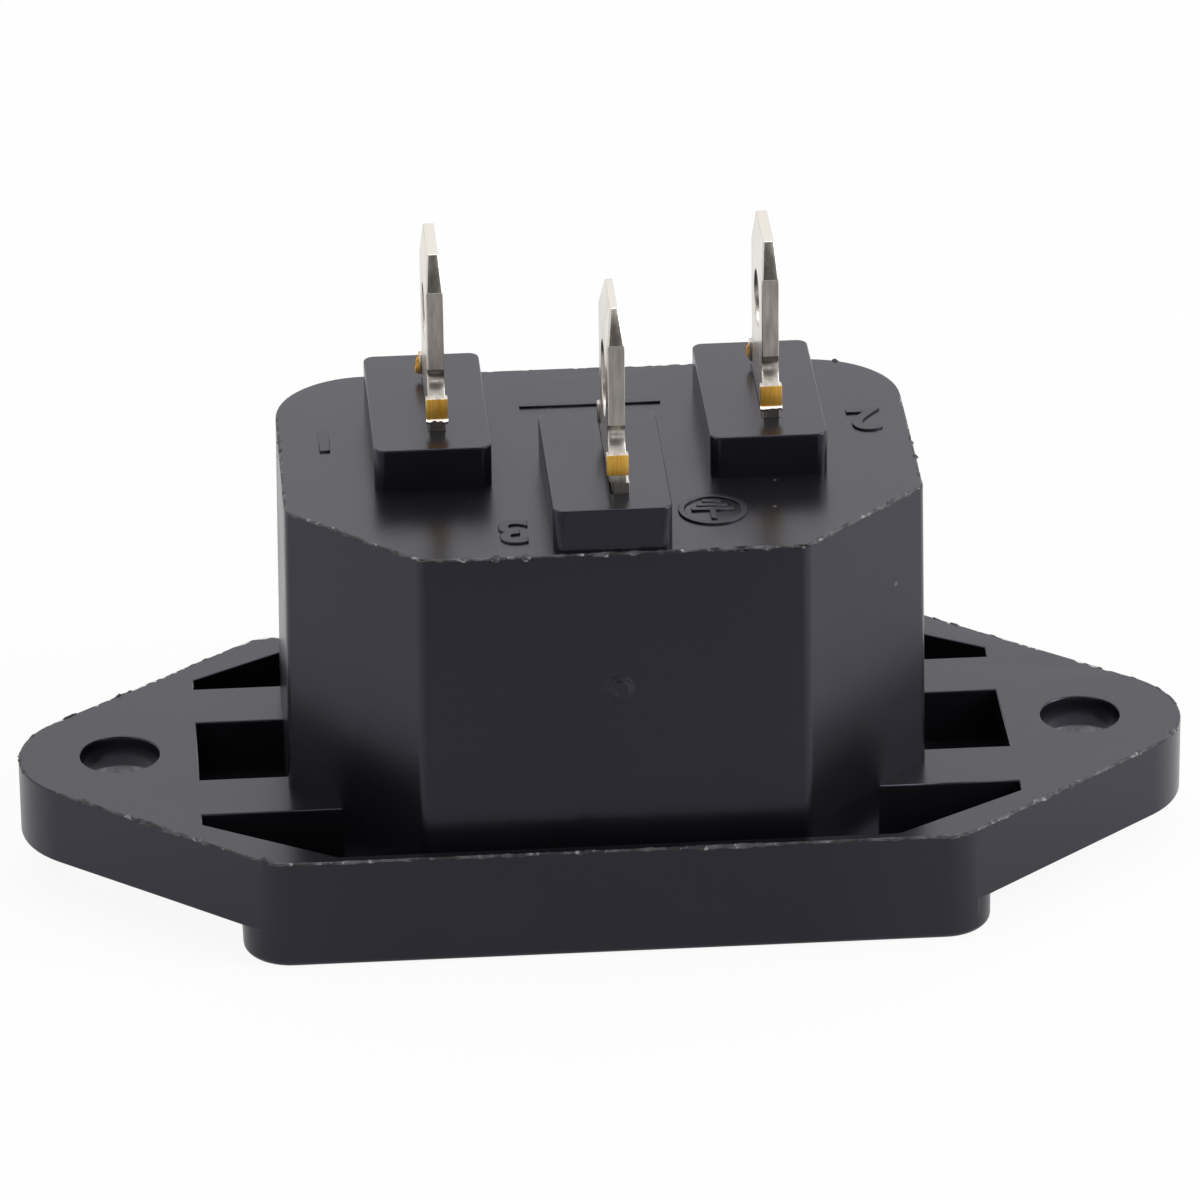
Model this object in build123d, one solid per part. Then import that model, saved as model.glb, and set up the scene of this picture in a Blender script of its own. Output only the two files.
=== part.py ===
from build123d import *
import os

os.makedirs("parts", exist_ok=True)

# Panel mount power inlet, in millimetres.
# +Z is the rear, where the terminal tabs stand. The origin lies midway
# between the two screw holes, on the rear face of the flange.

# flange
HOLE_PITCH = 40.0        # between the screw holes
HOLE_D = 3.3             # clear hole for an M3 screw
CSK_D = 7.0              # countersink on the front face
CSK_H = 1.9              # countersink depth
EAR_R = 4.2              # rounded end round each screw hole
EAR_T = 3.25             # thickness of the ears
COLLAR_L = 30.6          # front collar, along X
COLLAR_W = 21.0          # front collar, along Y
COLLAR_R = 2.0           # corner radius of the collar
COLLAR_T = 4.75          # from the rear face of the flange to the front rim
RIM_EDGE = 0.3           # soft edge round the front rim

# cored rear face of the flange
CORE_D = 2.3             # depth of the pockets
CORE_X = 16.75           # outer end of the pockets
CENTRE_Y = 2.62          # half width of the two middle pockets
OUTER_Y0 = 5.8           # ribs end here
OUTER_Y1 = 6.65          # outer corner of the side pockets
OUTER_X1 = 11.4          # where the sloped rim wall meets the straight one
OUTER_Y2 = 10.0          # inner face of the straight rim wall

# shroud body behind the flange
BODY_W = 26.3            # along X, at the flange
BODY_D = 18.5            # along Y, at the flange
BODY_Y = 0.3             # middle of the body and of the plug cavity
BODY_H = 12.5            # height over the rear face of the flange
BODY_C = 5.3             # leg of the two keying chamfers
BODY_R = 4.0             # radius of the two other corners
BODY_DRAFT = 0.7         # degrees

# plug cavity
CAV_W = 24.6             # along X, at the front rim
CAV_D = 16.7             # along Y, at the front rim
CAV_C = 4.7              # leg of its keying chamfers
CAV_R = 3.1              # radius of its other corners
CAV_DRAFT = 0.5          # degrees
CAV_LEAD = 0.45          # lead-in round the mouth
LEAD_ANGLE = 45.0        # degrees
CAV_FLOOR = 11.25        # height of the cavity floor

# raised bosses round the terminal slots
BOSS_L = 9.5             # along Y
BOSS_W = 4.8             # along X
BOSS_H = 1.8
BOSS_R = 0.45
SIDE_BOSS_X = 6.85
SIDE_BOSS_Y = 2.63
EARTH_BOSS_Y = -3.8

# pins
PIN_PITCH = 14.0         # between the two outer pins
PIN_T = 2.0              # along X
PIN_W = 4.0              # along Y
PIN_R = 0.25             # eased long edges
PIN_TIP = 0.8            # length of the bevelled tip
PIN_BEVEL = 0.5          # depth of the bevel
SIDE_PIN_Y = 2.3
EARTH_PIN_Y = -1.7
SIDE_PIN_Z = -0.7        # tip of the outer pins
EARTH_PIN_Z = -3.1       # tip of the earth pin, which mates first
PIN_SEAT = 12.75         # upper end of the thick pin, inside the rear wall

# tabs; heights are over the top of the boss
TAB_PITCH = 13.65        # between the two outer tabs, a little less than the pins
TAB_DX = 0.25            # both outer tabs stand this far toward +X
TAB_T = 0.7              # thickness of the sheet
TAB_W = 4.8              # width
COIN_Z = 0.2             # coining starts this far below the chamfer
TAB_HOLE = 2.4           # width of the hole
NECK_Z0 = 1.85           # necked edge, from here
NECK_Z1 = 2.6            # to here
NECK_D = 0.22            # depth of the neck
NECK_EASE = 0.15         # slope at each end of the neck
SHOULDER_W = 5.4         # wide foot of the tab
SHOULDER_H = 1.45        # height of the foot
SHOULDER_EASE = 0.25     # slope from the foot to the tab
FOOT_DROP = 0.2          # the foot starts this far below the boss top
FOOT_H = 0.5             # the foot runs up to here, then the tab goes on
EARTH_FOOT_DX = 0.13     # the earth foot stands this far toward +X from its tab
LUG_T = 0.9              # cut ends left by the carrier strip, along X
LUG_L = 0.4              # cut ends, along Y
LUG_PROUD = 0.03         # cut ends past the edge of the foot
LUG_Z0 = 0.55            # height where the cut ends start
REAR_LUG_DROP = 0.25     # on the outer tabs the cut end toward +Y sits lower
EARTH_LIFT = 0.27        # the earth tab stands this much higher
SIDE_TAB_Y = 2.3
EARTH_TAB_X = 0.3
EARTH_TAB_Y = -4.4

# where the tabs differ: height of the tip, its chamfer along Y and along Z, its coined
# thickness, height of the hole, and how much taller than wide the hole is
SIDE_TAB = {"tip_h": 7.38, "tip_c": 0.78, "tip_ch": 1.38, "tip_t": 0.45, "hole_z": 4.18, "hole_long": 0}
EARTH_TAB = {"tip_h": 7.33, "tip_c": 0.92, "tip_ch": 1.25, "tip_t": 0.3, "hole_z": 3.65, "hole_long": 0.7}

# slots
SLOT_GAP = 0.02          # room round a blank in its slot
EARTH_GAP = 0.05         # extra room beside the earth blank

# modelling allowances
THROUGH = 1.0            # a cut runs this far past the face it opens
SINK = 0.5               # a joined block reaches this far into its carrier
HAIR = 0.01              # the coining cut clears the tip by this

BOSS_TOP = BODY_H + BOSS_H
CHAMFER_GROWTH = 2 - 2 ** 0.5    # leg of a corner chamfer, for each mm of offset

FLOOR_UP = (Align.CENTER, Align.CENTER, Align.MIN)


def corner_circles(r):
    """Centres of the four collar corners."""
    cx = COLLAR_L / 2 - r
    cy = COLLAR_W / 2 - r
    return [(sx * cx, sy * cy) for sx in (-1, 1) for sy in (-1, 1)]


def flange_plate():
    """Elongated plate: ends round the holes, joined to the collar by tangent edges."""
    with BuildPart() as plate:
        with BuildSketch(Plane.XY.offset(-EAR_T)):
            with BuildSketch(mode=Mode.PRIVATE) as discs:
                with Locations((-HOLE_PITCH / 2, 0), (HOLE_PITCH / 2, 0)):
                    Circle(EAR_R)
                with Locations(*corner_circles(COLLAR_R)):
                    Circle(COLLAR_R)
            make_hull(discs.sketch.edges())
        extrude(amount=EAR_T)
    return plate.part


def keyed_profile(width, depth, leg, radius):
    """Rectangle with chamfers toward -Y and rounded corners toward +Y."""
    with BuildSketch() as outline:
        Rectangle(width, depth)
        front = outline.vertices().group_by(Axis.Y)[0]
        chamfer(front, leg)
        back = outline.vertices().group_by(Axis.Y)[-1]
        fillet(back, radius)
    return outline.sketch


def side_core(side):
    """Recess along one long side of the flange, before the body is put back."""
    points = [
        (-CORE_X, side * OUTER_Y0),
        (-CORE_X, side * OUTER_Y1),
        (-OUTER_X1, side * OUTER_Y2),
        (OUTER_X1, side * OUTER_Y2),
        (CORE_X, side * OUTER_Y1),
        (CORE_X, side * OUTER_Y0),
    ]
    with BuildPart() as core:
        with BuildSketch(Plane.XY.offset(-CORE_D)):
            with BuildLine():
                Polyline(*points, close=True)
            make_face()
        extrude(amount=CORE_D + THROUGH)
    return core.part


def middle_core(side):
    """Pocket between the body and one screw hole."""
    length = CORE_X - BODY_W / 2 + SINK
    middle = side * (CORE_X - length / 2)
    return Pos(middle, 0, -CORE_D) * Box(
        length, 2 * CENTRE_Y, CORE_D + THROUGH, align=FLOOR_UP
    )


def screw_hole(side):
    """Clear hole with its countersink on the front face."""
    x = side * HOLE_PITCH / 2
    bore = Pos(x, 0, -EAR_T - THROUGH) * Cylinder(
        HOLE_D / 2, EAR_T + 2 * THROUGH, align=FLOOR_UP
    )
    sink = Pos(x, 0, -EAR_T) * Cone(CSK_D / 2, HOLE_D / 2, CSK_H, align=FLOOR_UP)
    return bore + sink


def slot(x_tab, y0, y1, gap_left):
    """Narrow slot for a blank, through the boss and the rear wall."""
    x0 = x_tab - TAB_T / 2 - SLOT_GAP - gap_left
    x1 = x_tab + TAB_T / 2 + SLOT_GAP
    z0 = CAV_FLOOR - SINK
    return Pos(x0, y0 - SLOT_GAP, z0) * Box(
        x1 - x0, y1 - y0 + 2 * SLOT_GAP, BOSS_TOP - z0 + THROUGH,
        align=(Align.MIN, Align.MIN, Align.MIN),
    )


def pin_seat(x, y):
    """Wide pocket that holds the thick end of a pin in the rear wall."""
    z0 = CAV_FLOOR - SINK
    return Pos(x, y, z0) * Box(PIN_T, PIN_W, PIN_SEAT - z0, align=FLOOR_UP)


def boss(x, y):
    """Raised rectangular boss on the rear face."""
    block = Pos(x, y, BODY_H - SINK) * Box(BOSS_W, BOSS_L, BOSS_H + SINK, align=FLOOR_UP)
    return fillet(block.edges().filter_by(Axis.Z), BOSS_R)


def make_housing():
    """One moulded piece: flange, collar, shroud body, cavity and bosses."""
    collar = Pos(0, 0, -COLLAR_T) * extrude(
        RectangleRounded(COLLAR_L, COLLAR_W, COLLAR_R), COLLAR_T
    )
    rim = collar.edges().group_by(Axis.Z)[0]
    base = flange_plate() + fillet(rim, RIM_EDGE)
    for side in (-1, 1):
        base = base - side_core(side)
        base = base - middle_core(side)
    foot = Pos(0, BODY_Y, -CORE_D) * extrude(
        keyed_profile(BODY_W, BODY_D, BODY_C, BODY_R), CORE_D
    )
    shroud = Pos(0, BODY_Y, 0) * extrude(
        keyed_profile(BODY_W, BODY_D, BODY_C, BODY_R), BODY_H, taper=BODY_DRAFT
    )
    base = base + foot + shroud
    spots = [
        (-SIDE_BOSS_X, SIDE_BOSS_Y),
        (SIDE_BOSS_X, SIDE_BOSS_Y),
        (0, EARTH_BOSS_Y),
    ]
    for x, y in spots:
        base = base + boss(x, y)

    cavity = Pos(0, BODY_Y, -COLLAR_T) * extrude(
        keyed_profile(CAV_W, CAV_D, CAV_C, CAV_R), CAV_FLOOR + COLLAR_T, taper=CAV_DRAFT
    )
    wide = keyed_profile(
        CAV_W + 2 * CAV_LEAD,
        CAV_D + 2 * CAV_LEAD,
        CAV_C + CHAMFER_GROWTH * CAV_LEAD,
        CAV_R + CAV_LEAD,
    )
    mouth = Pos(0, BODY_Y, -COLLAR_T) * extrude(wide, CAV_LEAD, taper=LEAD_ANGLE)
    base = base - cavity - mouth
    half = SHOULDER_W / 2
    for side in (-1, 1):
        base = base - screw_hole(side)
        x_tab = side * TAB_PITCH / 2 + TAB_DX
        base = base - slot(x_tab, SIDE_TAB_Y - half, SIDE_TAB_Y + half, 0)
        base = base - pin_seat(side * PIN_PITCH / 2, SIDE_PIN_Y)
    earth_x = EARTH_TAB_X + EARTH_FOOT_DX
    base = base - slot(earth_x, EARTH_TAB_Y - half, EARTH_PIN_Y + PIN_W / 2, EARTH_GAP)
    return base - pin_seat(0, EARTH_PIN_Y)


def tab_edge(tab, lift, drop):
    """One long edge of a tab from foot to tip: distance from its middle, height."""
    half = TAB_W / 2
    wide = SHOULDER_W / 2
    foot_z = BOSS_TOP + SHOULDER_H + lift - drop
    neck0 = BOSS_TOP + NECK_Z0 + lift
    neck1 = BOSS_TOP + NECK_Z1 + lift
    tip_z = BOSS_TOP + tab["tip_h"] + lift
    return [
        (wide, BOSS_TOP + FOOT_H),
        (wide, foot_z),
        (half, foot_z + SHOULDER_EASE),
        (half - NECK_D, neck0 + NECK_EASE),
        (half - NECK_D, neck1 - NECK_EASE),
        (half, neck1),
        (half, tip_z - tab["tip_ch"]),
        (half - tab["tip_c"], tip_z),
    ]


def coining(y_tab, tab, lift, side):
    """Wedge that thins one face of a tab toward its tip."""
    tip_z = BOSS_TOP + tab["tip_h"] + lift
    start_z = tip_z - tab["tip_ch"] - COIN_Z
    face = side * TAB_T / 2
    with BuildPart() as wedge:
        with BuildSketch(Plane.XZ.offset(-y_tab)):
            with BuildLine():
                Polyline(
                    (face, start_z),
                    (side * tab["tip_t"] / 2, tip_z + HAIR),
                    (face + side * THROUGH, tip_z + HAIR),
                    (face + side * THROUGH, start_z),
                    close=True,
                )
            make_face()
        extrude(amount=TAB_W, both=True)
    return wedge.part


def cut_end(y_tab, side, lift, drop):
    """End of the carrier strip on one edge of the foot, thicker than the sheet."""
    y = y_tab + side * (SHOULDER_W / 2 + LUG_PROUD - LUG_L / 2)
    return Pos(0, y, BOSS_TOP + LUG_Z0 + lift - drop) * Box(
        LUG_T, LUG_L, SHOULDER_H - LUG_Z0, align=FLOOR_UP
    )


def upright_plate(x, y0, y1, z0, z1):
    """Piece of the sheet, upright in the YZ plane."""
    return Pos(x, (y0 + y1) / 2, z0) * Box(TAB_T, y1 - y0, z1 - z0, align=FLOOR_UP)


def blank(y_tab, tab, lift, rear_drop, foot_dx, web_y0, web_y1):
    """Flat blank in the YZ plane: web in the wall, wide foot and tab with its hole."""
    front = [(y_tab - y, z) for y, z in tab_edge(tab, lift, 0)]
    rear = [(y_tab + y, z) for y, z in reversed(tab_edge(tab, lift, rear_drop))]
    half = SHOULDER_W / 2
    foot_z = BOSS_TOP - FOOT_DROP
    with BuildPart() as body:
        with BuildSketch(Plane.YZ):
            with BuildLine():
                Polyline(*(front + rear), close=True)
            make_face()
            with Locations((y_tab, BOSS_TOP + tab["hole_z"] + lift)):
                if tab["hole_long"]:
                    SlotCenterToCenter(tab["hole_long"], TAB_HOLE, rotation=90, mode=Mode.SUBTRACT)
                else:
                    Circle(TAB_HOLE / 2, mode=Mode.SUBTRACT)
        extrude(amount=TAB_T / 2, both=True)
    part = body.part
    for side in (-1, 1):
        part = part - coining(y_tab, tab, lift, side)
    part = part + upright_plate(foot_dx, y_tab - half, y_tab + half, foot_z, BOSS_TOP + FOOT_H)
    part = part + upright_plate(foot_dx, web_y0, web_y1, PIN_SEAT, foot_z)
    part = part + cut_end(y_tab, -1, lift, 0)
    return part + cut_end(y_tab, 1, lift, rear_drop)


def pin(y, tip_z):
    """Thick mating pin with eased edges and a bevelled tip."""
    with BuildPart() as bar:
        with BuildSketch(Plane.XY.offset(tip_z)):
            RectangleRounded(PIN_T - 2 * PIN_BEVEL, PIN_W - 2 * PIN_BEVEL, PIN_R / 2)
        with BuildSketch(Plane.XY.offset(tip_z + PIN_TIP)):
            RectangleRounded(PIN_T, PIN_W, PIN_R)
        loft()
        with BuildSketch(Plane.XY.offset(tip_z + PIN_TIP)):
            RectangleRounded(PIN_T, PIN_W, PIN_R)
        extrude(amount=PIN_SEAT - tip_z - PIN_TIP)
    return Pos(0, y, 0) * bar.part


def make_terminal(x_pin, y_pin, pin_z, x_tab, y_tab, tab, lift, rear_drop, foot_dx):
    """One stamped piece: pin in front, web through the wall, tab at the rear."""
    half = SHOULDER_W / 2
    y0 = min(y_tab - half, y_pin - PIN_W / 2)
    y1 = max(y_tab + half, y_pin + PIN_W / 2)
    sheet = Pos(x_tab, 0, 0) * blank(y_tab, tab, lift, rear_drop, foot_dx, y0, y1)
    return sheet + Pos(x_pin, 0, 0) * pin(y_pin, pin_z)


def side_terminal(side):
    """One of the two outer terminals."""
    return make_terminal(
        side * PIN_PITCH / 2, SIDE_PIN_Y, SIDE_PIN_Z,
        side * TAB_PITCH / 2 + TAB_DX, SIDE_TAB_Y, SIDE_TAB, 0, REAR_LUG_DROP, 0,
    )


housing = make_housing()
line_terminal = side_terminal(-1)
neutral_terminal = side_terminal(1)
earth_terminal = make_terminal(
    0, EARTH_PIN_Y, EARTH_PIN_Z,
    EARTH_TAB_X, EARTH_TAB_Y, EARTH_TAB, EARTH_LIFT, 0, EARTH_FOOT_DX,
)

for name, piece in (
    ("housing", housing),
    ("line_terminal", line_terminal),
    ("neutral_terminal", neutral_terminal),
    ("earth_terminal", earth_terminal),
):
    solids = piece.solids()
    assert len(solids) == 1, name
    export_step(solids[0], f"parts/{name}.step")
    box = solids[0].bounding_box()
    print(name, round(solids[0].volume, 1), box.min, box.max)
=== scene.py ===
"""Looks of a screw-mounted power inlet: finishes, soft edges, moulding flash, raised marks and studio."""

import math

import bmesh
import bpy
from bpy.props import FloatProperty, FloatVectorProperty, IntProperty, PointerProperty
from bpy.types import Operator, Panel, PropertyGroup
from mathutils import Matrix, Vector, noise
from mathutils.kdtree import KDTree


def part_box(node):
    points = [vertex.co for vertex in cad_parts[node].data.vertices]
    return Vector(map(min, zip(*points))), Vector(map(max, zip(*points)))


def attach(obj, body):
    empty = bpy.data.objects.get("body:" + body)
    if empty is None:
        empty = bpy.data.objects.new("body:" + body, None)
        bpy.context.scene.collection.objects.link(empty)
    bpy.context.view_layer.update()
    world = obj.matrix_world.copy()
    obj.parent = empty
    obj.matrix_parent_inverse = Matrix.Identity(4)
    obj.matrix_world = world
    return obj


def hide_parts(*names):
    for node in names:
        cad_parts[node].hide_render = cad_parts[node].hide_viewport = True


bl_info = {
    "name": "Panel Mount Power Inlet",
    "version": (1, 0, 0),
    "blender": (4, 5, 0),
    "location": "View3D > Sidebar > Power Inlet",
    "description": "Finishes, moulding flash, raised marks and studio of a screw-mounted power inlet",
    "category": "Object",
}

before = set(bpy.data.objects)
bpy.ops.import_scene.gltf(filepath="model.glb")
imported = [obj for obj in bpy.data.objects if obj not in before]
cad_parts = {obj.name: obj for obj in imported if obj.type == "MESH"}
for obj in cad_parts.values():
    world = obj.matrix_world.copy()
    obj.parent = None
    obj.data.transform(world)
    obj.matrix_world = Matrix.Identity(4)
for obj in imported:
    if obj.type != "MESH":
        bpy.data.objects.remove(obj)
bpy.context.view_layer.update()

BODY = "root"
MM = 0.001

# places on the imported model
FLOOR_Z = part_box("housing")[0].z
BOSS_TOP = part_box("housing")[1].z
REAR_FACE = 12.5 * MM
FLANGE_FACE = 0.0
BODY_FRONT_Y = -8.87 * MM
WALL_INSIDE = 10.7 * MM          # the wall with its slots and pin seats starts here
PIN_END = 12.8 * MM              # above it a terminal is a flat sheet
SHEET = 0.7 * MM                 # thickness of that sheet
SLOT_GAP = 0.1 * MM              # slots and pin seats stay within this of their terminal
TAB_SLOPE = 21.5 * MM            # above it only the coined tip of a tab
WEAR_STEP = 0.13 * MM            # open edges change their wear at this pace
CORNER_ROOM = 0.32 * MM          # and are left whole this far from their ends, where roundings meet
NICK_BAND = 0.2 * MM             # nicks reach this far down from an open edge
SWING = 1.9 * MM                 # the wear of an open edge comes and goes over this length
NICK_LENGTH = 0.28 * MM          # and its single nicks are about this long
PLACE_DIGITS = 7                 # decimals in metres by which two points are the same
SCUFFED = 1                      # material of the rounding of the open edges, after the plain skin
TERMINALS = ("line_terminal", "neutral_terminal", "earth_terminal")
TERMINAL_BOXES = [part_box(node) for node in TERMINALS]

# turns between two faces, in degrees
FLAT_TURN = 0.6                  # up to this they are one flat face
SLIGHT_TURN = 20                 # up to this they are steps of one curve
EDGE_TURN = 40                   # from here on it is an edge of the part
CRISP_TURN = 60                  # from here on it stays crisp after the rounding

# places of the raised marks on the rear face and of the gate, in millimetres
DIGITS = (("1", -11.1, 3.1), ("2", 11.25, 3.1), ("3", -3.9, -6.4))
DIGIT_SHARE = 0.72               # height of a digit as a share of the font's size
SIGN = (4.28, -5.15)
SIGN_BARS = ((-0.05, 0.85), (-0.42, 0.6), (-0.79, 0.35))    # row and half length
SIGN_STEM = 0.85                 # height of the stem's top
RULE = (0.05, 5.65)
RULE_HALF = (2.9, 0.13)
SUNK_SHARE = 0.3                 # share of their height by which the marks sink into the face
GATE = (0.17, 6.43)
GATE_RADIUS = 0.62

# the studio, in metres
TABLE_REACH = 3.0
ROOM_AWAY, ROOM_HALF, ROOM_LOW, ROOM_HIGH = 0.6, 0.45, 0.17, 1.2
LAMP_AIM = (0, 0, 0.006)
LAMPS = {                        # name: place, then width and height
    "lamp_right": ((0.34, -0.10, 0.22), (0.22, 0.22)),
    "lamp_top": ((-0.02, 0.10, 0.42), (0.3, 0.3)),
    "lamp_behind": ((0.05, 0.42, 0.27), (0.8, 0.36)),
}


def linear(text):
    """An sRGB hex value as linear red, green, blue and alpha."""
    channels = [int(text[i:i + 2], 16) / 255 for i in (0, 2, 4)]
    out = [c / 12.92 if c <= 0.04045 else ((c + 0.055) / 1.055) ** 2.4 for c in channels]
    return (*out, 1.0)


def add(tree, kind, inputs=(), **settings):
    """Adds a node, sets what it is, and fills or links its inputs."""
    node = tree.nodes.new(kind)
    for name, value in settings.items():
        setattr(node, name, value)
    for key, value in dict(inputs).items():
        if isinstance(value, bpy.types.NodeSocket):
            tree.links.new(value, node.inputs[key])
        else:
            node.inputs[key].default_value = value
    return node


def per(millimetres):
    """The scale of a pattern that repeats about every so many millimetres."""
    return 1 / (millimetres * MM)


def colour_setting(name, description, text):
    """A colour that a user can change, from its hex value."""
    return FloatVectorProperty(
        name=name, description=description, subtype="COLOR", size=4, min=0, max=1, default=linear(text)
    )


def length_setting(name, description, millimetres):
    """A length that a user can change."""
    return FloatProperty(
        name=name, description=description, unit="LENGTH", precision=5, min=0, default=millimetres * MM
    )


def share_setting(name, description, value, **more):
    """A share, strength or power that a user can change."""
    return FloatProperty(name=name, description=description, min=0, default=value, **more)


class HousingSettings(PropertyGroup):
    corner: length_setting("Keying edge", "Rounding of the upright edges on the keyed side", 0.24)
    colour: colour_setting("Plastic", "Black thermoplastic", "151518")
    cloud: colour_setting("Cloud", "Slightly paler patches where the melt flowed", "1b1b1f")
    nick: length_setting("Nick", "Depth of the nicks along the open edges", 0.09)
    scuff: colour_setting("Scuff", "Stress-whitened flash and nicks", "5c5c60")
    crumb: colour_setting("Crumb", "Pale crumbs on the flash", "9c9ca0")
    roughness: share_setting("Roughness", "Roughness of the skin", 0.24, max=1)


class TerminalSettings(PropertyGroup):
    edge: length_setting("Sheared edge", "Rounding of the blanked edges on the side of the die", 0.07)
    burr: length_setting("Burr", "Size of the burrs on the cut ends", 0.2)
    plating: colour_setting("Nickel", "Bright nickel plate", "ddd6cd")
    shadow: colour_setting("Fracture", "Darker plate in the torn part of a blanked edge", "b9b2aa")
    brass: colour_setting("Brass", "Bare brass where the carrier strip was cut off", "ffcf68")


class MarkSettings(PropertyGroup):
    height: length_setting("Relief", "Height of the raised marks over the rear face", 0.12)
    digit: length_setting("Digit", "Height of the digits", 2.1)
    ring: length_setting("Ring", "Outer radius of the ring round the earth sign", 1.38)
    stroke: length_setting("Stroke", "Width of the lines of the earth sign", 0.2)
    swell: length_setting("Swell", "How far the strokes of the digits are thickened to each side", 0.045)


class FlashSettings(PropertyGroup):
    size: length_setting("Fin", "Largest size of the ragged fin", 0.17)
    spacing: length_setting("Spacing", "Distance between the points of the fin", 0.09)
    patch: length_setting("Patch", "Length of a stretch with or without flash", 1.1)
    seed: IntProperty(name="Seed", description="Another seed gives other stretches", default=7)


class StageSettings(PropertyGroup):
    floor: colour_setting("Floor", "White table", "fafafa")
    key: share_setting("Key", "Power of the lamp on the right", 0.9, unit="POWER")
    top: share_setting("Top", "Power of the lamp overhead", 0.55, unit="POWER")
    back: share_setting("Back", "Power of the softbox behind", 0.2, unit="POWER")
    sky: share_setting("Sky", "Strength of the even light of the tent", 0.45)
    mirrored: share_setting("Mirrored tent", "Brightness of the tent in reflections", 0.92)
    front: share_setting("Mirrored table", "Brightness of the table in front in reflections", 0.51)
    room: share_setting("Mirrored room", "Brightness of the room in front in reflections", 0.07)


def surface(name):
    """A new material with its tree, its Object coordinates and its output."""
    material = bpy.data.materials.new(name)
    material.use_nodes = True
    tree = material.node_tree
    tree.nodes.clear()
    place = add(tree, "ShaderNodeTexCoord").outputs["Object"]
    out = add(tree, "ShaderNodeOutputMaterial")
    return material, tree, place, out


def blend(tree, share, low, high):
    """Colour between two, by a share from 0 to 1."""
    # the colour sockets of a Mix node share their names with other types, so they go by place
    return add(tree, "ShaderNodeMix", {0: share, 6: low, 7: high}, data_type="RGBA").outputs[2]


def spread(tree, value, low, high, out_low, out_high):
    """A value between two limits mapped onto another range, held at its ends."""
    return add(tree, "ShaderNodeMapRange", {0: value, 1: low, 2: high, 3: out_low, 4: out_high}).outputs[0]


def moulded_pbt(settings, name, rougher):
    """Glass-filled polyester, injection moulded: a black skin between matt and glossy that mirrors pale
    surroundings at a low angle, cloudy where the melt flowed, with a grain of about 0.12 mm and a few
    specks. rougher is added to the roughness."""
    material, tree, place, out = surface(name)
    cloud = add(
        tree, "ShaderNodeTexNoise", {"Vector": place, "Scale": per(6.25), "Detail": 3}
    ).outputs["Fac"]
    flow = blend(tree, cloud, settings.colour, settings.cloud)
    cells = add(tree, "ShaderNodeTexVoronoi", {"Vector": place, "Scale": per(2.381)})
    near = spread(tree, cells.outputs["Distance"], 0.02, 0.05, 1, 0)
    picked = spread(tree, cells.outputs["Color"], 0.78, 0.8, 0, 1)
    speck = add(
        tree, "ShaderNodeMath", {0: near, 1: picked}, operation="MULTIPLY"
    ).outputs[0]
    base = settings.roughness + rougher
    rough = spread(tree, cloud, 0.3, 0.7, base - 0.03, base + 0.05)
    grain = add(
        tree, "ShaderNodeTexNoise", {"Vector": place, "Scale": per(0.1205), "Detail": 2}
    ).outputs["Fac"]
    relief = {"Height": grain, "Strength": 0.12, "Distance": 0.012 * MM}
    bump = add(tree, "ShaderNodeBump", relief)
    skin = add(
        tree,
        "ShaderNodeBsdfPrincipled",
        {
            "Base Color": blend(tree, speck, flow, settings.scuff),
            "Roughness": rough,
            "IOR": 1.55,
            "Specular Tint": linear("e8e4ff"),
            "Normal": bump.outputs["Normal"],
        },
    )
    tree.links.new(skin.outputs[0], out.inputs["Surface"])
    return material


def torn_pbt(settings):
    """The same polyester where it was squeezed out or torn: paler, rough and uneven."""
    material, tree, place, out = surface("moulded_pbt_flash")
    patches = add(
        tree, "ShaderNodeTexNoise", {"Vector": place, "Scale": per(0.6667), "Detail": 4}
    ).outputs["Fac"]
    torn = blend(tree, spread(tree, patches, 0.42, 0.66, 0, 1), settings.cloud, settings.scuff)
    crumbs = add(
        tree, "ShaderNodeTexNoise", {"Vector": place, "Scale": per(0.3226), "Detail": 2}
    ).outputs["Fac"]
    colour = blend(tree, spread(tree, crumbs, 0.62, 0.7, 0, 1), torn, settings.crumb)
    skin = add(tree, "ShaderNodeBsdfPrincipled", {"Base Color": colour, "Roughness": 0.5, "IOR": 1.55})
    tree.links.new(skin.outputs[0], out.inputs["Surface"])
    return material


def metal(name, low, high, streak_width, drawn_out, roughness, depth):
    """A plated or bare metal whose colour and relief run in upright streaks, of a width and a depth in
    millimetres. The smaller drawn_out is, the longer they are."""
    material, tree, place, out = surface(name)
    streak = add(tree, "ShaderNodeMapping", {"Vector": place, "Scale": (1, 1, drawn_out)}).outputs[0]
    lines = add(
        tree, "ShaderNodeTexNoise", {"Vector": streak, "Scale": per(streak_width), "Detail": 4}
    ).outputs["Fac"]
    colour = blend(tree, spread(tree, lines, 0.32, 0.68, 0, 1), low, high)
    rough = spread(tree, lines, 0.3, 0.7, roughness + 0.1, roughness)
    bump = add(tree, "ShaderNodeBump", {"Height": lines, "Strength": 0.35, "Distance": depth * MM})
    skin = add(
        tree,
        "ShaderNodeBsdfPrincipled",
        {
            "Base Color": colour,
            "Metallic": 1.0,
            "Roughness": rough,
            "Normal": bump.outputs["Normal"],
        },
    )
    tree.links.new(skin.outputs[0], out.inputs["Surface"])
    return material


def nickel_plate(settings):
    """Bright nickel on rolled brass sheet: smooth, with faint rolling lines along the tab."""
    return metal("nickel_plate", settings.plating, settings.plating, 0.3846, 0.12, 0.2, 0.002)


def plated_shear(settings):
    """Nickel over a blanked edge: the punch leaves upright scratches and a darker torn part."""
    return metal("nickel_on_shear", settings.shadow, settings.plating, 0.1923, 0.14, 0.27, 0.012)


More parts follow.
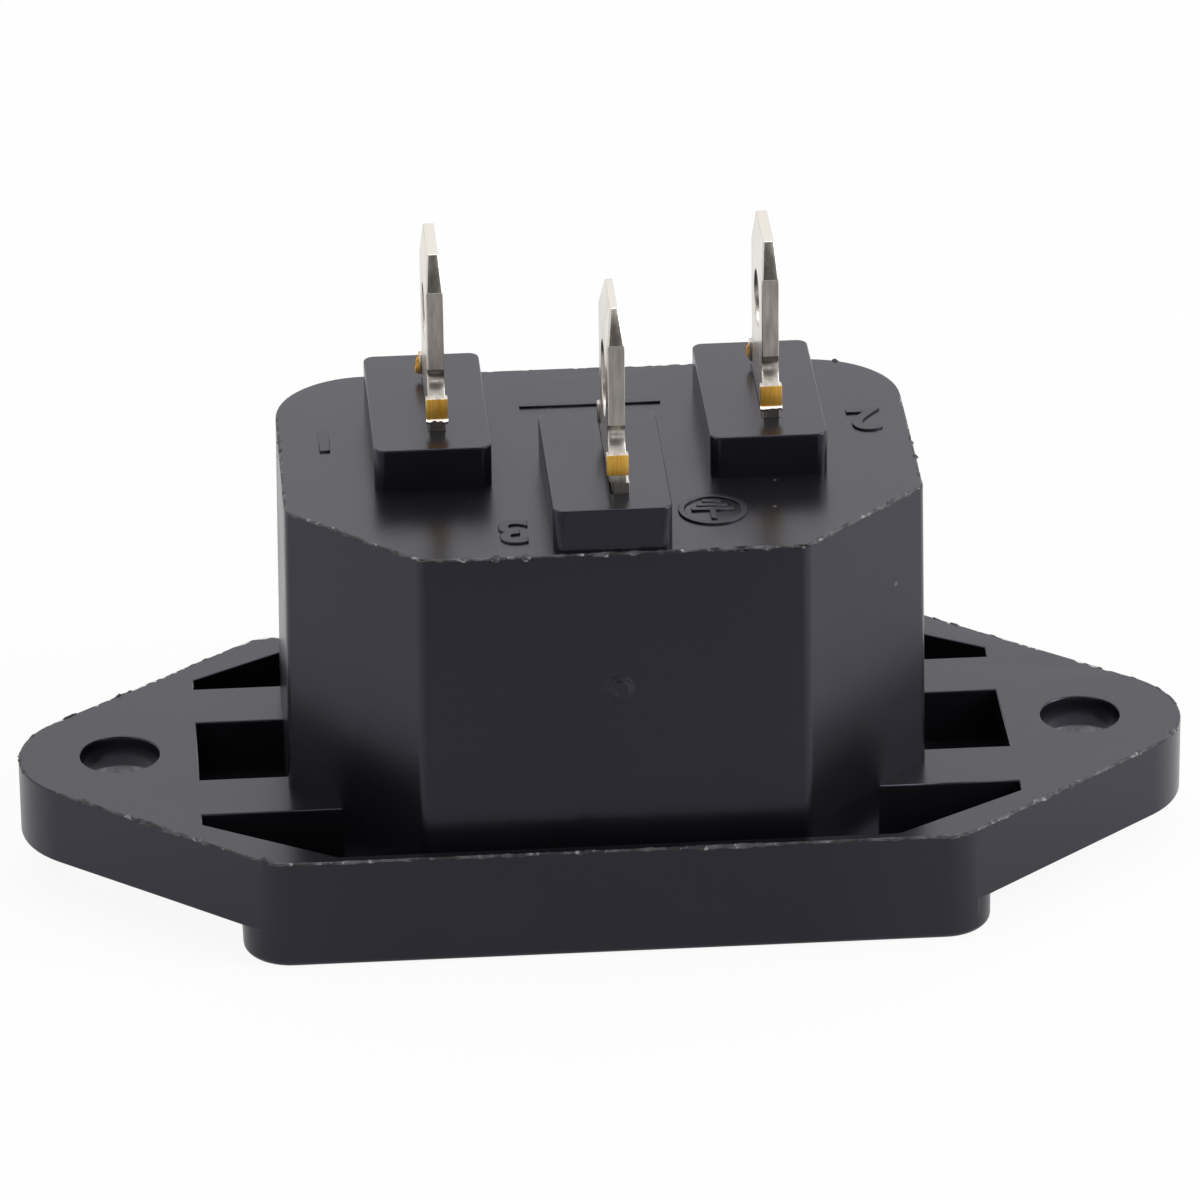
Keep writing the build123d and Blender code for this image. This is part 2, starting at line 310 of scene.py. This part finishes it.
def bare_brass(settings):
    """Brass cut after plating, where the carrier strip came off: bright, with upright scratches."""
    deep = [share * c for share, c in zip((0.85, 0.7, 0.45), settings.brass)] + [1.0]
    return metal("bare_brass_shear", deep, settings.brass, 0.1111, 0.07, 0.5, 0.04)


def finished(obj, name, materials):
    """The evaluated object as a plain mesh piece at the origin, riding on the body."""
    mesh = evaluated_mesh(obj)
    mesh.name = name
    piece = bpy.data.objects.new(name, mesh)
    bpy.context.scene.collection.objects.link(piece)
    if not mesh.materials:
        for material in materials:
            mesh.materials.append(material)
    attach(piece, BODY)
    return piece


def merged_copy(node):
    """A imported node's triangles joined into one shell, with its flat faces whole."""
    shell = bmesh.new()
    shell.from_mesh(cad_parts[node].data)
    bmesh.ops.remove_doubles(shell, verts=shell.verts, dist=0.001 * MM)
    bmesh.ops.dissolve_limit(
        shell, angle_limit=math.radians(FLAT_TURN), verts=shell.verts, edges=shell.edges
    )
    return shell


def cut_short(edge, step):
    """Puts points along an edge about every step, clear of its ends and without new faces, and gives
    back all their places."""
    start = edge.verts[0]
    places = [v.co.copy() for v in edge.verts]
    inner = edge.calc_length() - 2 * CORNER_ROOM
    count = round(inner / step)
    if count < 1:
        return places
    for length in (CORNER_ROOM, *[inner / count] * count):
        _, middle = bmesh.utils.edge_split(edge, start, length / edge.calc_length())
        edge = next(e for e in middle.link_edges if start not in e.verts)
        start = middle
        places.append(middle.co.copy())
    return places


def evaluated_mesh(obj):
    """The object's mesh after its modifiers. The object is removed."""
    depsgraph = bpy.context.evaluated_depsgraph_get()
    mesh = bpy.data.meshes.new_from_object(obj.evaluated_get(depsgraph), depsgraph=depsgraph)
    source = obj.data
    bpy.data.objects.remove(obj)
    if source.users == 0 and isinstance(source, bpy.types.Mesh):
        bpy.data.meshes.remove(source)
    return mesh


def softened(
    node, width, share_of, materials, face_slot, name, edge_slot=-1, is_short=None, wear=None
):
    """Copy of a node with its convex edges rounded. share_of gives an edge's share of the width, and
    edge_slot the material of the rounding. Concave edges stay crisp. Edges that is_short picks are cut
    into steps, and wear then moves the points of the rounded mesh near those. The copy takes the
    place of the node."""
    shell = merged_copy(node)
    cut = []
    for edge in list(shell.edges):
        if is_short and is_short(edge):
            cut += cut_short(edge, WEAR_STEP)
    weight = shell.edges.layers.float.new("bevel_weight_edge")
    for edge in shell.edges:
        if len(edge.link_faces) == 2 and edge.is_convex:
            edge[weight] = share_of(edge)
        elif turn_of(edge) > SLIGHT_TURN:
            edge.smooth = False
    for face in shell.faces:
        face.smooth = True
        face.material_index = face_slot(face)
    mesh = bpy.data.meshes.new(name + "_source")
    shell.to_mesh(mesh)
    shell.free()
    for material in materials:
        mesh.materials.append(material)
    obj = bpy.data.objects.new(name + "_source", mesh)
    bpy.context.scene.collection.objects.link(obj)
    bevel = obj.modifiers.new("Soft edges", "BEVEL")
    bevel.limit_method = "WEIGHT"
    bevel.width = width
    bevel.segments = 2
    bevel.use_clamp_overlap = False
    bevel.loop_slide = False
    bevel.material = edge_slot
    bevel.face_strength_mode = "FSTR_ALL"
    mesh = evaluated_mesh(obj)
    if wear:
        near = KDTree(len(cut))
        for index, place in enumerate(cut):
            near.insert(place, index)
        near.balance()
        wear(mesh, near)
    shell = bmesh.new()
    shell.from_mesh(mesh)
    for edge in shell.edges:
        if turn_of(edge) > CRISP_TURN:
            edge.smooth = False
    shell.to_mesh(mesh)
    shell.free()
    obj = bpy.data.objects.new(name + "_source", mesh)
    bpy.context.scene.collection.objects.link(obj)
    normals = obj.modifiers.new("Even faces", "WEIGHTED_NORMAL")
    normals.keep_sharp = True
    normals.use_face_influence = True
    piece = finished(obj, name, materials)
    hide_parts(node)
    return piece


def turn_of(edge):
    """How far the two faces at an edge turn, in degrees."""
    return math.degrees(edge.calc_face_angle(0))


def wear_open_edges(mesh, near, depth):
    """Moves the rounding of the open edges inward by noise, so that they look nicked, and leaves only
    those edges scuffed. Points on a flat face stay in its plane, and points that would fold the mesh
    over stay where they were."""
    starts = [(vertex.co.copy(), vertex.normal.copy()) for vertex in mesh.vertices]
    scuffed = set()
    for face in mesh.polygons:
        if face.material_index == SCUFFED:
            if near.find(face.center)[2] < NICK_BAND:
                scuffed.update(face.vertices)
            else:
                face.material_index = 0
    for index in scuffed:
        place, normal = starts[index]
        height = REAR_FACE if place.z > BOSS_TOP / 2 else FLANGE_FACE
        under = height - place.z
        if not -0.001 * MM < under < NICK_BAND or normal.xy.length < 0.05:
            continue
        swing = noise.noise(place / SWING)
        nick = noise.noise(place / NICK_LENGTH)
        amount = depth * min(max(0.1 + 0.8 * swing + 1.6 * nick, 0), 1)
        vertex = mesh.vertices[index]
        if normal.z > 0.25:
            vertex.co.xy -= normal.xy.normalized() * amount
        if under > 0.003 * MM:
            vertex.co.z -= amount
    for _ in range(12):
        mesh.update()
        mesh.calc_loop_triangles()
        folded = {
            index
            for triangle in mesh.loop_triangles
            if triangle.normal.dot(mesh.polygons[triangle.polygon_index].normal) < 0.5
            for index in triangle.vertices
        }
        for index in folded & scuffed:
            mesh.vertices[index].co = starts[index][0]


def housing_share(edge):
    """Keying edges take the whole radius, other edges less, and slots and pin seats none."""
    start, end = (v.co for v in edge.verts)
    middle = (start + end) / 2
    if turn_of(edge) < EDGE_TURN:
        return 0
    upright = abs((end - start).normalized().z) > 0.99
    if upright and edge.calc_length() > 8 * MM and middle.y < 0:
        return 1.0
    in_slot = any(
        all(low[axis] - SLOT_GAP < middle[axis] < high[axis] + SLOT_GAP for axis in (0, 1))
        for low, high in TERMINAL_BOXES
    )
    if middle.z > WALL_INSIDE and in_slot:
        return 0
    return 0.33


def terminal_share(edge):
    """Every sharp edge of a blank, rounder toward -X where the punch drew it in. The pin's long
    edges are already rounded, and the foot of the sheet is hidden in the wall."""
    in_pin = all(v.co.z < PIN_END for v in edge.verts)
    hidden = in_pin and all(v.co.z > WALL_INSIDE for v in edge.verts)
    if hidden or turn_of(edge) < (EDGE_TURN if in_pin else SLIGHT_TURN):
        return 0
    drawn_in = any(face.normal.x < -0.9 for face in edge.link_faces)
    return 1.0 if drawn_in else 0.4


def terminal_slot(face):
    """0 for the plated faces, 1 for the blanked edges and 2 for the bare cut ends, which are wider
    than the sheet."""
    if face.calc_center_median().z < BOSS_TOP:
        return 0
    across = [v.co.x for v in face.verts]
    if max(across) - min(across) > 1.2 * SHEET and abs(face.normal.y) > 0.9:
        return 2
    if abs(face.normal.x) > 0.7 or face.normal.z > 0.2 and max(v.co.z for v in face.verts) > TAB_SLOPE:
        return 0
    return 1


def outline_at(node, height):
    """The outer edge of a node's upward face at one height, as points in order."""
    shell = merged_copy(node)
    neighbours = {}
    for edge in shell.edges:
        level = all(abs(v.co.z - height) < 0.002 * MM for v in edge.verts)
        if not level or len(edge.link_faces) != 2 or not edge.is_convex or turn_of(edge) < EDGE_TURN:
            continue
        a, b = (v.co.to_tuple(PLACE_DIGITS) for v in edge.verts)
        neighbours.setdefault(a, []).append(b)
        neighbours.setdefault(b, []).append(a)
    shell.free()
    start = min(neighbours)
    path = [start]
    while True:
        onward = [p for p in neighbours[path[-1]] if p not in path[-2:]]
        if not onward or onward[0] == start:
            return [Vector(p) for p in path]
        path.append(onward[0])


def flash_tree(material):
    """Geometry nodes: a ragged fin along a curve, thick where noise is high and absent where it is low."""
    tree = bpy.data.node_groups.new("ragged_fin", "GeometryNodeTree")
    tree.interface.new_socket("Curve", in_out="INPUT", socket_type="NodeSocketGeometry")
    for name in ("Fin", "Spacing", "Patch", "Seed"):
        tree.interface.new_socket(name, in_out="INPUT", socket_type="NodeSocketFloat")
    tree.interface.new_socket("Mesh", in_out="OUTPUT", socket_type="NodeSocketGeometry")
    given = add(tree, "NodeGroupInput").outputs
    line = add(
        tree, "GeometryNodeResampleCurve",
        {"Curve": given["Curve"], "Length": given["Spacing"]}, mode="LENGTH",
    )
    place = add(tree, "GeometryNodeInputPosition").outputs[0]
    often = add(tree, "ShaderNodeMath", {0: 1.0, 1: given["Patch"]}, operation="DIVIDE").outputs[0]
    patches = add(
        tree, "ShaderNodeTexNoise",
        {"Vector": place, "W": given["Seed"], "Scale": often, "Detail": 2}, noise_dimensions="4D",
    ).outputs["Fac"]
    teeth = add(
        tree, "ShaderNodeTexNoise",
        {"Vector": place, "W": given["Seed"], "Scale": 2400, "Detail": 2}, noise_dimensions="4D",
    ).outputs["Fac"]
    share = spread(tree, patches, 0.53, 0.66, 0.05, 1.0)
    tooth = spread(tree, teeth, 0.4, 0.65, 0.15, 1.3)
    both = add(tree, "ShaderNodeMath", {0: share, 1: tooth}, operation="MULTIPLY").outputs[0]
    upward = add(tree, "GeometryNodeSetCurveNormal", {"Curve": line.outputs[0]}, mode="Z_UP").outputs[0]
    section = add(
        tree, "GeometryNodeCurvePrimitiveCircle", {"Resolution": 4, "Radius": given["Fin"]}
    ).outputs[0]
    fin = add(
        tree, "GeometryNodeCurveToMesh", {"Curve": upward, "Profile Curve": section, "Scale": both}
    ).outputs[0]
    whole = add(tree, "GeometryNodeRealizeInstances", {0: fin}).outputs[0]
    dressed = add(tree, "GeometryNodeSetMaterial", {"Geometry": whole, "Material": material}).outputs[0]
    add(tree, "NodeGroupOutput", {0: dressed})
    return tree


def curve_object(name, points):
    """A closed line through the points."""
    curve = bpy.data.curves.new(name, "CURVE")
    curve.dimensions = "3D"
    spline = curve.splines.new("POLY")
    spline.points.add(len(points) - 1)
    for point, place in zip(spline.points, points):
        point.co = (*place, 1.0)
    spline.use_cyclic_u = True
    obj = bpy.data.objects.new(name, curve)
    bpy.context.scene.collection.objects.link(obj)
    return obj


def flat_curve(loops, height):
    """A filled flat curve whose loops cut holes in each other, raised to a height."""
    curve = bpy.data.curves.new("mark", "CURVE")
    curve.dimensions = "2D"
    curve.fill_mode = "BOTH"
    for loop in loops:
        spline = curve.splines.new("POLY")
        spline.points.add(len(loop) - 1)
        for point, (x, y) in zip(spline.points, loop):
            point.co = (x, y, 0, 1)
        spline.use_cyclic_u = True
    raise_curve(curve, height)
    return curve


def raise_curve(curve, height):
    """Gives a flat curve a thickness of its height to each side, with soft edges."""
    curve.bevel_depth = 0.25 * height
    curve.bevel_resolution = 1
    curve.extrude = height - curve.bevel_depth


def circle(radius, steps=64):
    """Corners of a round loop about the middle."""
    turns = [math.tau * step / steps for step in range(steps)]
    return [(radius * math.cos(turn), radius * math.sin(turn)) for turn in turns]


def bar(x0, x1, y0, y1):
    """Corners of an upright rectangle."""
    return [(x0, y0), (x1, y0), (x1, y1), (x0, y1)]


def settle_mark(curve, place, turn):
    """Turns a raised curve into a mesh, and puts that in its place."""
    obj = bpy.data.objects.new("mark", curve)
    bpy.context.scene.collection.objects.link(obj)
    depsgraph = bpy.context.evaluated_depsgraph_get()
    mesh = bpy.data.meshes.new_from_object(obj.evaluated_get(depsgraph), depsgraph=depsgraph)
    bpy.data.objects.remove(obj)
    mesh.transform(Matrix.Translation(place) @ Matrix.Rotation(turn, 4, "Z"))
    return mesh


def joined(meshes, name, material):
    """Several closed meshes as one piece."""
    shell = bmesh.new()
    for mesh in meshes:
        shell.from_mesh(mesh)
        bpy.data.meshes.remove(mesh)
    bmesh.ops.remove_doubles(shell, verts=shell.verts, dist=0.0005 * MM)
    bmesh.ops.recalc_face_normals(shell, faces=shell.faces)
    mesh = bpy.data.meshes.new(name + "_source")
    shell.to_mesh(mesh)
    shell.free()
    obj = bpy.data.objects.new(name + "_source", mesh)
    bpy.context.scene.collection.objects.link(obj)
    return finished(obj, name, [material])


class INLET_OT_housing(Operator):
    """Gives the moulded housing soft edges and its black skin"""

    bl_idname = "inlet.housing"
    bl_label = "Moulded housing"

    def execute(self, context):
        settings = context.scene.inlet_housing
        finishes = [moulded_pbt(settings, "moulded_pbt_black", 0), torn_pbt(settings)]
        rims = [outline_at("housing", height) for height in (REAR_FACE, FLANGE_FACE)]
        open_ends = {place.to_tuple(PLACE_DIGITS) for rim in rims for place in rim}
        softened(
            "housing", settings.corner, housing_share, finishes, lambda face: 0,
            "moulded_housing", edge_slot=SCUFFED,
            is_short=lambda edge: turn_of(edge) > EDGE_TURN
            and all(v.co.to_tuple(PLACE_DIGITS) in open_ends for v in edge.verts),
            wear=lambda mesh, near: wear_open_edges(mesh, near, settings.nick),
        )
        return {"FINISHED"}


class INLET_OT_terminals(Operator):
    """Gives the three stamped terminals blanked edges, plating and bare cut ends"""

    bl_idname = "inlet.terminals"
    bl_label = "Plated terminals"

    def execute(self, context):
        settings = context.scene.inlet_terminals
        finishes = [nickel_plate(settings), plated_shear(settings), bare_brass(settings)]
        for node in TERMINALS:
            softened(
                node, settings.edge, terminal_share, finishes, terminal_slot,
                node.replace("terminal", "blade"),
            )
        return {"FINISHED"}


def cut_end(node, side):
    """The lowest and highest corner of the cut end of a terminal, in front (-1) or at the back (1)."""
    above = [v.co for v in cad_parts[node].data.vertices if v.co.z > BOSS_TOP + 0.1 * MM]
    reach = max(side * co.y for co in above)
    end = [co for co in above if side * co.y > reach - 0.01 * MM]
    return [Vector(pick(co[axis] for co in end) for axis in range(3)) for pick in (min, max)]


def hanging_burr(low, high, size, seed):
    """A ragged lip along the lower front edge of a cut end, bent out and down by the cropping tool."""
    shell = bmesh.new()
    steps = 14
    rows = []
    for step in range(steps + 1):
        share = step / steps
        jag = max(0.75 + 1.3 * noise.noise(Vector((share * 4.1, seed, 0))), 0.2)
        x = low.x + (high.x - low.x) * share
        root = (x, low.y + 0.04 * MM, low.z + 0.03 * MM)
        lip = (x, low.y - 0.6 * size * jag, low.z - 0.35 * size * jag)
        tip = (x, low.y - 0.35 * size * jag, low.z - size * jag)
        under = (x, low.y + 0.08 * MM, low.z - 0.4 * size * jag)
        rows.append([shell.verts.new(co) for co in (root, lip, tip, under)])
    for near, far in zip(rows, rows[1:]):
        for i in range(4):
            shell.faces.new((near[i], near[(i + 1) % 4], far[(i + 1) % 4], far[i]))
    shell.faces.new(rows[0])
    shell.faces.new(reversed(rows[-1]))
    mesh = bpy.data.meshes.new("burr")
    shell.to_mesh(mesh)
    shell.free()
    return mesh


def smeared_burr(middle, half, flare, seed):
    """A lump of brass smeared sideways by the cropping tool, wider at its foot."""
    shell = bmesh.new()
    bmesh.ops.create_icosphere(shell, subdivisions=3, radius=1)
    for vertex in shell.verts:
        out = vertex.co.copy()
        coarse = 0.4 * noise.noise(out * 1.7 + Vector((seed, 0, 0)))
        fine = 0.25 * noise.noise(out * 5 + Vector((0, seed, 0)))
        lumpy = 1 + coarse + fine
        wide = 1 - flare * out.z
        vertex.co = middle + Vector((out.x * half.x * wide, out.y * half.y, out.z * half.z)) * lumpy
    mesh = bpy.data.meshes.new("burr")
    shell.to_mesh(mesh)
    shell.free()
    return mesh


class INLET_OT_burrs(Operator):
    """Adds the burrs left where the terminals were cropped from their carrier strip"""

    bl_idname = "inlet.burrs"
    bl_label = "Cropping burrs"

    def execute(self, context):
        settings = context.scene.inlet_terminals
        hanging = []
        for seed, node in enumerate(TERMINALS[:2]):
            low, high = cut_end(node, -1)
            hanging.append(hanging_burr(low, high, settings.burr, 3.1 + 4 * seed))
        joined(hanging, "front_burrs", bpy.data.materials["nickel_plate"])
        smeared = []
        for node, wide, flare in (("line_terminal", 1.0, 0.55), ("neutral_terminal", 0.6, 0.1)):
            low, high = cut_end(node, 1)
            tall = high.z - low.z
            half = Vector(
                (0.75 * wide * settings.burr, 0.8 * settings.burr, 0.4 * tall * (1 + flare) / 1.3)
            )
            middle = Vector((low.x, low.y - 0.5 * settings.burr, low.z + 0.42 * tall))
            smeared.append(smeared_burr(middle, half, flare, wide))
        joined(smeared, "back_burrs", bpy.data.materials["bare_brass_shear"])
        return {"FINISHED"}


class INLET_OT_flash(Operator):
    """Runs ragged moulding flash along the open edges of the rear face and the flange"""

    bl_idname = "inlet.flash"
    bl_label = "Moulding flash"

    def execute(self, context):
        settings = context.scene.inlet_flash
        material = bpy.data.materials["moulded_pbt_flash"]
        tree = flash_tree(material)
        sizes = {
            "Fin": settings.size,
            "Spacing": settings.spacing,
            "Patch": settings.patch,
            "Seed": float(settings.seed),
        }
        identifiers = {
            item.name: item.identifier for item in tree.interface.items_tree if item.item_type == "SOCKET"
        }
        for name, height in (("rear_edge_flash", REAR_FACE), ("flange_edge_flash", FLANGE_FACE)):
            inward = Vector((0, 0, -0.02 * MM))
            points = [p * (1 - 0.06 * MM / p.xy.length) + inward for p in outline_at("housing", height)]
            obj = curve_object(name + "_path", points)
            modifier = obj.modifiers.new("Flash", "NODES")
            modifier.node_group = tree
            for key, value in sizes.items():
                modifier[identifiers[key]] = value
            finished(obj, name, [material])
        return {"FINISHED"}


class INLET_OT_marks(Operator):
    """Sets raised digits, an earth sign, a plain bar and the gate mark on the housing"""

    bl_idname = "inlet.marks"
    bl_label = "Raised marks"

    def execute(self, context):
        settings = context.scene.inlet_marks
        material = moulded_pbt(context.scene.inlet_housing, "moulded_pbt_spark_eroded", 0.07)
        height = settings.height
        base = REAR_FACE - SUNK_SHARE * height
        half_turn = math.pi
        meshes = []
        for text, x, y in DIGITS:
            digit = bpy.data.curves.new("digit", "FONT")
            digit.body = text
            digit.size = settings.digit / DIGIT_SHARE
            digit.align_x = "CENTER"
            digit.align_y = "CENTER"
            digit.offset = settings.swell
            raise_curve(digit, height)
            meshes.append(settle_mark(digit, Vector((x * MM, y * MM, base)), half_turn))
        thin = settings.stroke / 2
        sign = [[circle(settings.ring), circle(settings.ring - settings.stroke)]]
        for row, half in SIGN_BARS:
            sign.append([bar(-half * MM, half * MM, row * MM - thin, row * MM + thin)])
        sign.append([bar(-thin, thin, SIGN_BARS[0][0] * MM + thin, SIGN_STEM * MM)])
        place = Vector((SIGN[0] * MM, SIGN[1] * MM, base))
        for loops in sign:
            meshes.append(settle_mark(flat_curve(loops, height), place, half_turn))
        half, thin = (length * MM for length in RULE_HALF)
        rule = flat_curve([bar(-half, half, -thin, thin)], height)
        meshes.append(settle_mark(rule, Vector((RULE[0] * MM, RULE[1] * MM, base)), 0))
        joined(meshes, "raised_marks", material)
        joined([gate_mesh()], "gate_mark", material)
        return {"FINISHED"}


def gate_mesh():
    """A small uneven crater on the front face, where the sprue was cut."""
    centre = Vector((GATE[0] * MM, BODY_FRONT_Y, GATE[1] * MM))
    radius = GATE_RADIUS * MM
    shell = bmesh.new()
    bmesh.ops.create_uvsphere(shell, u_segments=32, v_segments=16, radius=radius)
    for vertex in shell.verts:
        out = vertex.co / radius
        rim = math.exp(-((math.hypot(out.x, out.z) - 0.55) / 0.2) ** 2)
        rough = noise.noise(out * 3.1) * 0.35 + noise.noise(out * 9.0) * 0.2
        vertex.co.y *= 0.1 + 0.12 * rim + 0.1 * rough
        vertex.co += centre
    mesh = bpy.data.meshes.new("gate")
    shell.to_mesh(mesh)
    shell.free()
    return mesh


# camera, solved from the photograph; its tilt and turn in degrees, its distance in millimetres
CAMERA_TURN = -3.837
CAMERA_HEIGHT = 25.782
CAMERA_ROLL = -0.694
CAMERA_DISTANCE = 348.399
CAMERA_SLIDE = (-0.006, -0.166)
AIM_HEIGHT = 6.0
FOCAL_PIXELS = 8446.64
IMAGE_PIXELS = 1200
SENSOR = 36.0


def place_camera():
    """The photograph's own camera, aimed past the middle of the inlet."""
    turn, height, roll = (math.radians(v) for v in (CAMERA_TURN, CAMERA_HEIGHT, CAMERA_ROLL))
    back = Vector(
        (math.sin(turn) * math.cos(height), -math.cos(turn) * math.cos(height), math.sin(height))
    )
    right = (-back).cross(Vector((0, 0, 1))).normalized()
    up = right.cross(-back)
    across = right * math.cos(roll) + up * math.sin(roll)
    above = up * math.cos(roll) - right * math.sin(roll)
    slide_x, slide_y = CAMERA_SLIDE
    spot = Vector((0, 0, AIM_HEIGHT)) + back * CAMERA_DISTANCE - across * slide_x - above * slide_y
    data = bpy.data.cameras.new("camera")
    data.sensor_width = SENSOR
    data.lens = FOCAL_PIXELS / IMAGE_PIXELS * SENSOR
    data.clip_start = 0.01
    data.clip_end = 20.0
    camera = bpy.data.objects.new("camera", data)
    stance = Matrix((across, above, back)).transposed().to_4x4()
    camera.matrix_world = Matrix.Translation(spot * MM) @ stance
    bpy.context.scene.collection.objects.link(camera)
    bpy.context.scene.camera = camera


def lamp(name, place, size, power):
    """A soft rectangular light, wide and high, that looks at the middle of the inlet."""
    data = bpy.data.lights.new(name, "AREA")
    data.shape = "RECTANGLE"
    data.size, data.size_y = size
    data.energy = power
    obj = bpy.data.objects.new(name, data)
    obj.location = place
    obj.rotation_euler = (Vector(LAMP_AIM) - Vector(place)).to_track_quat("-Z", "Y").to_euler()
    bpy.context.scene.collection.objects.link(obj)


def plane(name, corners, material):
    """A flat sheet of the studio, which isn't part of the object."""
    mesh = bpy.data.meshes.new(name)
    mesh.from_pydata(corners, [], [(0, 1, 2, 3)])
    mesh.materials.append(material)
    obj = bpy.data.objects.new(name, mesh)
    bpy.context.scene.collection.objects.link(obj)


def ray_kinds(tree):
    """Whether a ray comes from the camera, and whether from a glossy or clear surface."""
    path = add(tree, "ShaderNodeLightPath").outputs
    mirrored = add(
        tree, "ShaderNodeMath", {0: path["Is Glossy Ray"], 1: path["Is Transmission Ray"]}, operation="ADD"
    )
    return path["Is Camera Ray"], mirrored.outputs[0]


def light_tent(settings):
    """An even tent: white where it is seen, pale in the metal, and dimmer where it lights the inlet."""
    world = bpy.data.worlds.new("tent")
    world.use_nodes = True
    tree = world.node_tree
    tree.nodes.clear()
    seen, mirrored = ray_kinds(tree)
    strength = spread(tree, mirrored, 0, 1, settings.sky, settings.mirrored)
    whole = spread(tree, seen, 0, 1, strength, 1.0)
    sky = add(tree, "ShaderNodeBackground", {"Color": (1, 1, 1, 1), "Strength": whole})
    out = add(tree, "ShaderNodeOutputWorld")
    tree.links.new(sky.outputs[0], out.inputs["Surface"])
    return world


def paper_table(settings):
    """White paper: evened out to white where it is seen, keeping the shadow. Plastic and metal mirror it
    dimmer in front, where nothing lights it, than behind and at the sides. It is clear from below."""
    material, tree, place, out = surface("white_paper_table")
    seen, mirrored = ray_kinds(tree)
    along = add(tree, "ShaderNodeSeparateXYZ", {0: place}).outputs
    behind = spread(tree, along["Y"], -0.01, 0.06, settings.front, 1.0)
    left = spread(tree, along["X"], -0.03, -0.008, 0.86, settings.front)
    right = spread(tree, along["X"], 0.008, 0.03, settings.front, 1.0)
    sides = add(tree, "ShaderNodeMath", {0: left, 1: right}, operation="MAXIMUM").outputs[0]
    near = add(tree, "ShaderNodeMath", {0: behind, 1: sides}, operation="MAXIMUM").outputs[0]
    fading = spread(tree, along["Y"], -0.075, -0.045, 0.3, 1.0)
    bright = add(tree, "ShaderNodeMath", {0: near, 1: fading}, operation="MULTIPLY").outputs[0]
    whole = spread(tree, mirrored, 0, 1, 1.0, bright)
    glow = add(tree, "ShaderNodeEmission", {"Color": (1, 1, 1, 1), "Strength": whole})
    matt = add(tree, "ShaderNodeBsdfDiffuse", {"Color": settings.floor})
    evened = add(tree, "ShaderNodeMath", {0: seen, 1: 0.92}, operation="MULTIPLY").outputs[0]
    share = add(
        tree, "ShaderNodeMath", {0: evened, 1: mirrored}, operation="ADD", use_clamp=True
    ).outputs[0]
    lit = add(tree, "ShaderNodeMixShader", {0: share, 1: matt.outputs[0], 2: glow.outputs[0]})
    clear = add(tree, "ShaderNodeBsdfTransparent")
    under = add(tree, "ShaderNodeNewGeometry").outputs["Backfacing"]
    both = add(tree, "ShaderNodeMixShader", {0: under, 1: lit.outputs[0], 2: clear.outputs[0]})
    tree.links.new(both.outputs[0], out.inputs["Surface"])
    return material


def dark_room(settings):
    """The unlit room in front of the tent: only plastic and metal show it, as a dim reflection."""
    material, tree, place, out = surface("dim_room")
    _, mirrored = ray_kinds(tree)
    dim = add(tree, "ShaderNodeEmission", {"Color": (1, 1, 1, 1), "Strength": settings.room})
    clear = add(tree, "ShaderNodeBsdfTransparent")
    both = add(tree, "ShaderNodeMixShader", {0: mirrored, 1: clear.outputs[0], 2: dim.outputs[0]})
    tree.links.new(both.outputs[0], out.inputs["Surface"])
    return material


class INLET_OT_stage(Operator):
    """Sets the white table, the light tent, the lamps and the camera"""

    bl_idname = "inlet.stage"
    bl_label = "Studio"

    def execute(self, context):
        settings = context.scene.inlet_stage
        scene = context.scene
        scene.view_settings.view_transform = "Standard"
        scene.world = light_tent(settings)
        table = bar(-TABLE_REACH, TABLE_REACH, -TABLE_REACH, TABLE_REACH)
        plane("table", [(x, y, FLOOR_Z) for x, y in table], paper_table(settings))
        room = bar(-ROOM_HALF, ROOM_HALF, ROOM_LOW, ROOM_HIGH)
        plane("room_in_front", [(x, -ROOM_AWAY, z) for x, z in room], dark_room(settings))
        powers = (settings.key, settings.top, settings.back)
        for (name, (place, size)), power in zip(LAMPS.items(), powers):
            lamp(name, place, size, power)
        place_camera()
        return {"FINISHED"}


SETTINGS = {
    "inlet_housing": HousingSettings,
    "inlet_terminals": TerminalSettings,
    "inlet_marks": MarkSettings,
    "inlet_flash": FlashSettings,
    "inlet_stage": StageSettings,
}
OPERATORS = (
    INLET_OT_housing, INLET_OT_terminals, INLET_OT_burrs, INLET_OT_flash, INLET_OT_marks, INLET_OT_stage
)


class INLET_PT_panel(Panel):
    """Lists the steps that dress the inlet"""

    bl_idname = "INLET_PT_panel"
    bl_label = "Power Inlet"
    bl_space_type = "VIEW_3D"
    bl_region_type = "UI"
    bl_category = "Power Inlet"

    def draw(self, context):
        for operator in OPERATORS:
            self.layout.operator(operator.bl_idname)


def register():
    """Makes the settings, the operators and the panel known."""
    for kind in (*SETTINGS.values(), *OPERATORS, INLET_PT_panel):
        bpy.utils.register_class(kind)
    for name, kind in SETTINGS.items():
        setattr(bpy.types.Scene, name, PointerProperty(type=kind))


def unregister():
    """Takes them back."""
    for name in SETTINGS:
        delattr(bpy.types.Scene, name)
    for kind in reversed((*SETTINGS.values(), *OPERATORS, INLET_PT_panel)):
        bpy.utils.unregister_class(kind)


def main():
    """Dresses the inlet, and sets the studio."""
    register()
    bpy.ops.inlet.housing()
    bpy.ops.inlet.terminals()
    bpy.ops.inlet.burrs()
    bpy.ops.inlet.flash()
    bpy.ops.inlet.marks()
    bpy.ops.inlet.stage()


if __name__ == "__main__":
    main()
